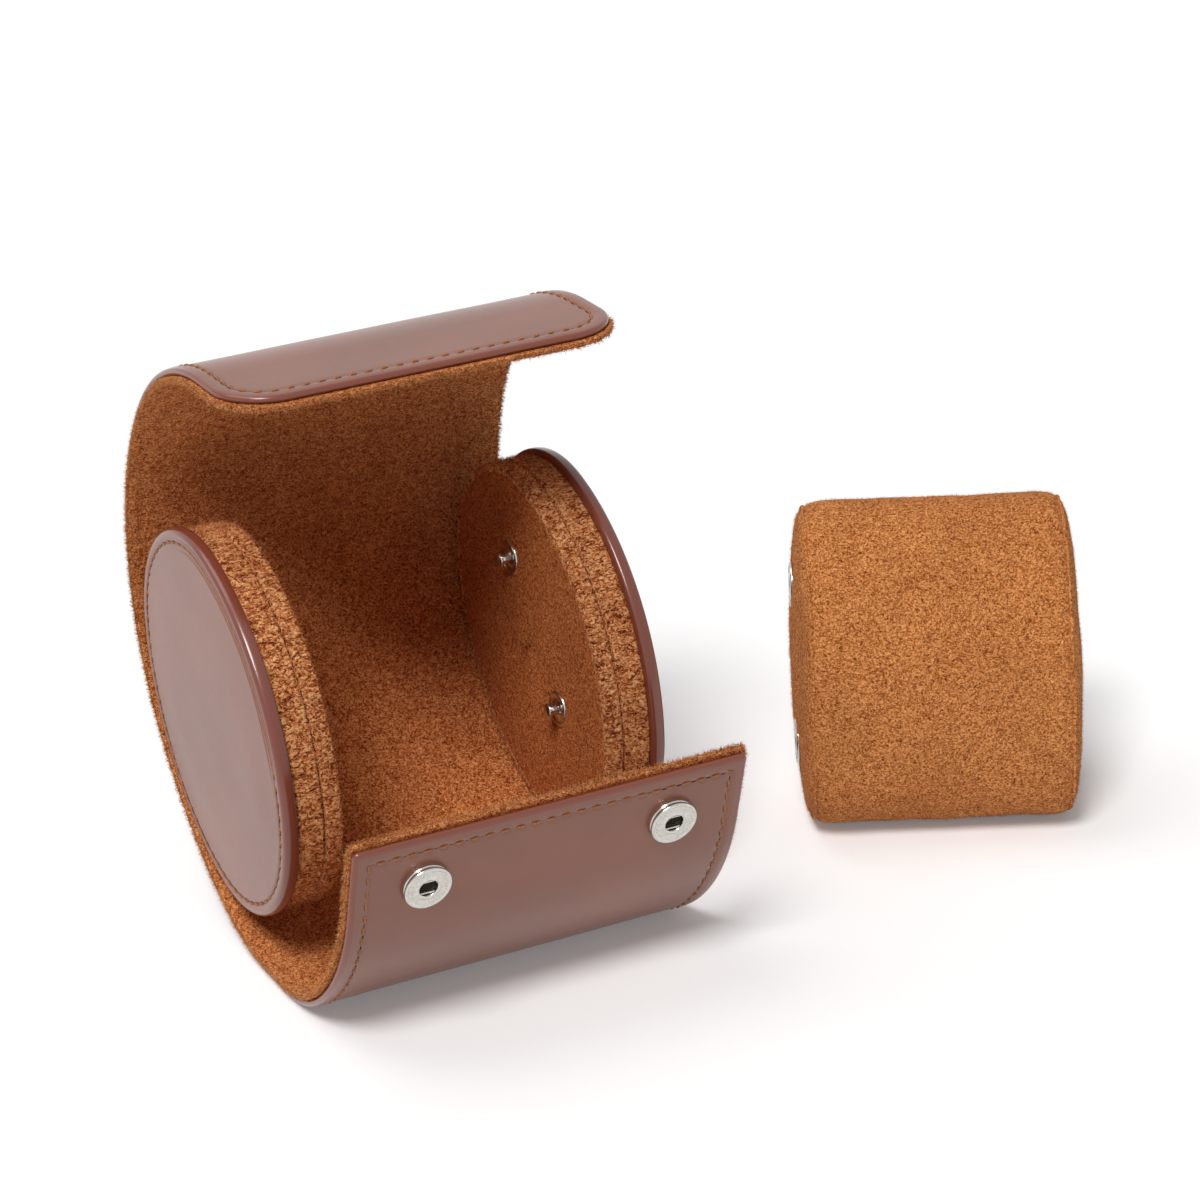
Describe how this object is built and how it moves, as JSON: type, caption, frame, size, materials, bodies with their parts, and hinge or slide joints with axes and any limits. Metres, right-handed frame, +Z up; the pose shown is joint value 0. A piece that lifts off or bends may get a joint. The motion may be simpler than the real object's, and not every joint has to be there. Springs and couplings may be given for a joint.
{
  "type": "travel roll case for a wristwatch",
  "caption": "Open leather travel roll for a wristwatch: layered curved wrap, oval padded ends, snap flaps and a lift-out suede cushion beside it.",
  "frame": {"origin": "on the table, under the middle of the box round roll and cushion as they stand", "axes": "+X along the roll from its left end towards the cushion, +Y from the open mouth to the back wall, +Z up"},
  "size_m": [0.2143, 0.1254, 0.1379],
  "materials": {
    "wrap_leather": "smooth coated leather, satin sheen",
    "end_leather": "smooth coated leather, glossy rim",
    "suede": "napped suede",
    "suede_inner": "darker napped suede",
    "suede_welt": "napped suede welt",
    "stiffener": "fibre board",
    "end_board": "pressed board",
    "foam": "open foam",
    "nickel": "bright nickel plate",
    "spring_wire": "bright spring wire",
    "brass_backing": "plain brass"
  },
  "bodies": {
    "case": {"back_leather": "wrap_leather", "back_stiffener": "stiffener", "back_lining": "suede", "left_end_leather": "end_leather", "left_end_board": "end_board", "left_plug_core": "foam", "left_plug_band": "suede", "left_plug_face": "suede_inner", "right_end_leather": "end_leather", "right_end_board": "end_board", "right_plug_core": "foam", "right_plug_band": "suede", "right_plug_face": "suede_inner", "right_plug_studs": "nickel", "right_plug_stud_backings": "brass_backing"},
    "rear_bend": {"rear_bend_leather": "end_leather", "rear_bend_stiffener": "stiffener", "rear_bend_lining": "suede"},
    "top_bend": {"top_bend_leather": "end_leather", "top_bend_stiffener": "stiffener", "top_bend_lining": "suede"},
    "top_flap": {"top_flap_leather": "wrap_leather", "top_flap_stiffener": "stiffener", "top_flap_lining": "suede", "top_flap_studs": "nickel", "top_flap_stud_backings": "brass_backing"},
    "base_bend": {"base_bend_leather": "end_leather", "base_bend_stiffener": "stiffener", "base_bend_lining": "suede"},
    "front_flap": {"front_flap_leather": "wrap_leather", "front_flap_stiffener": "stiffener", "front_flap_lining": "suede", "front_flap_sockets": "nickel", "front_flap_socket_springs": "spring_wire", "front_flap_eyelets": "brass_backing"},
    "cushion": {"cushion_core": "foam", "cushion_sleeve": "suede", "cushion_left_disc": "suede", "cushion_right_disc": "suede", "cushion_welts": "suede_welt", "cushion_sockets": "nickel", "cushion_socket_springs": "spring_wire", "cushion_eyelets": "brass_backing"}
  },
  "joints": [
    {"name": "rear_fold", "type": "hinge", "parent": "case", "child": "rear_bend", "pos_m": [-0.06043, 0.05795, 0.05995], "axis": [1, 0, 0], "range_deg": [0, 17.17]},
    {"name": "top_fold", "type": "hinge", "parent": "rear_bend", "child": "top_bend", "pos_m": [-0.06043, 0.05952, 0.07894], "axis": [1, 0, 0], "range_deg": [0, 15.84]},
    {"name": "flap_fold", "type": "hinge", "parent": "top_bend", "child": "top_flap", "pos_m": [-0.06043, 0.05281, 0.10378], "axis": [1, 0, 0], "range_deg": [0, 16.42]},
    {"name": "base_fold", "type": "hinge", "parent": "case", "child": "base_bend", "pos_m": [-0.06043, 0.00722, 0.00494], "axis": [-1, 0, 0], "range_deg": [0, 35.29]},
    {"name": "front_fold", "type": "hinge", "parent": "base_bend", "child": "front_flap", "pos_m": [-0.06043, -0.05338, 0.03416], "axis": [-1, 0, 0], "range_deg": [0, 23.34]},
    {"name": "cushion_lift", "type": "slide", "parent": "case", "child": "cushion", "axis": [0, 0, 1], "range_m": [0, 0.1]}
  ],
  "couplings": [
    {"joint": "top_fold", "follows": "rear_fold", "ratio": 0.92171},
    {"joint": "flap_fold", "follows": "rear_fold", "ratio": 0.95512},
    {"joint": "front_fold", "follows": "base_fold", "ratio": 0.66077}
  ]
}
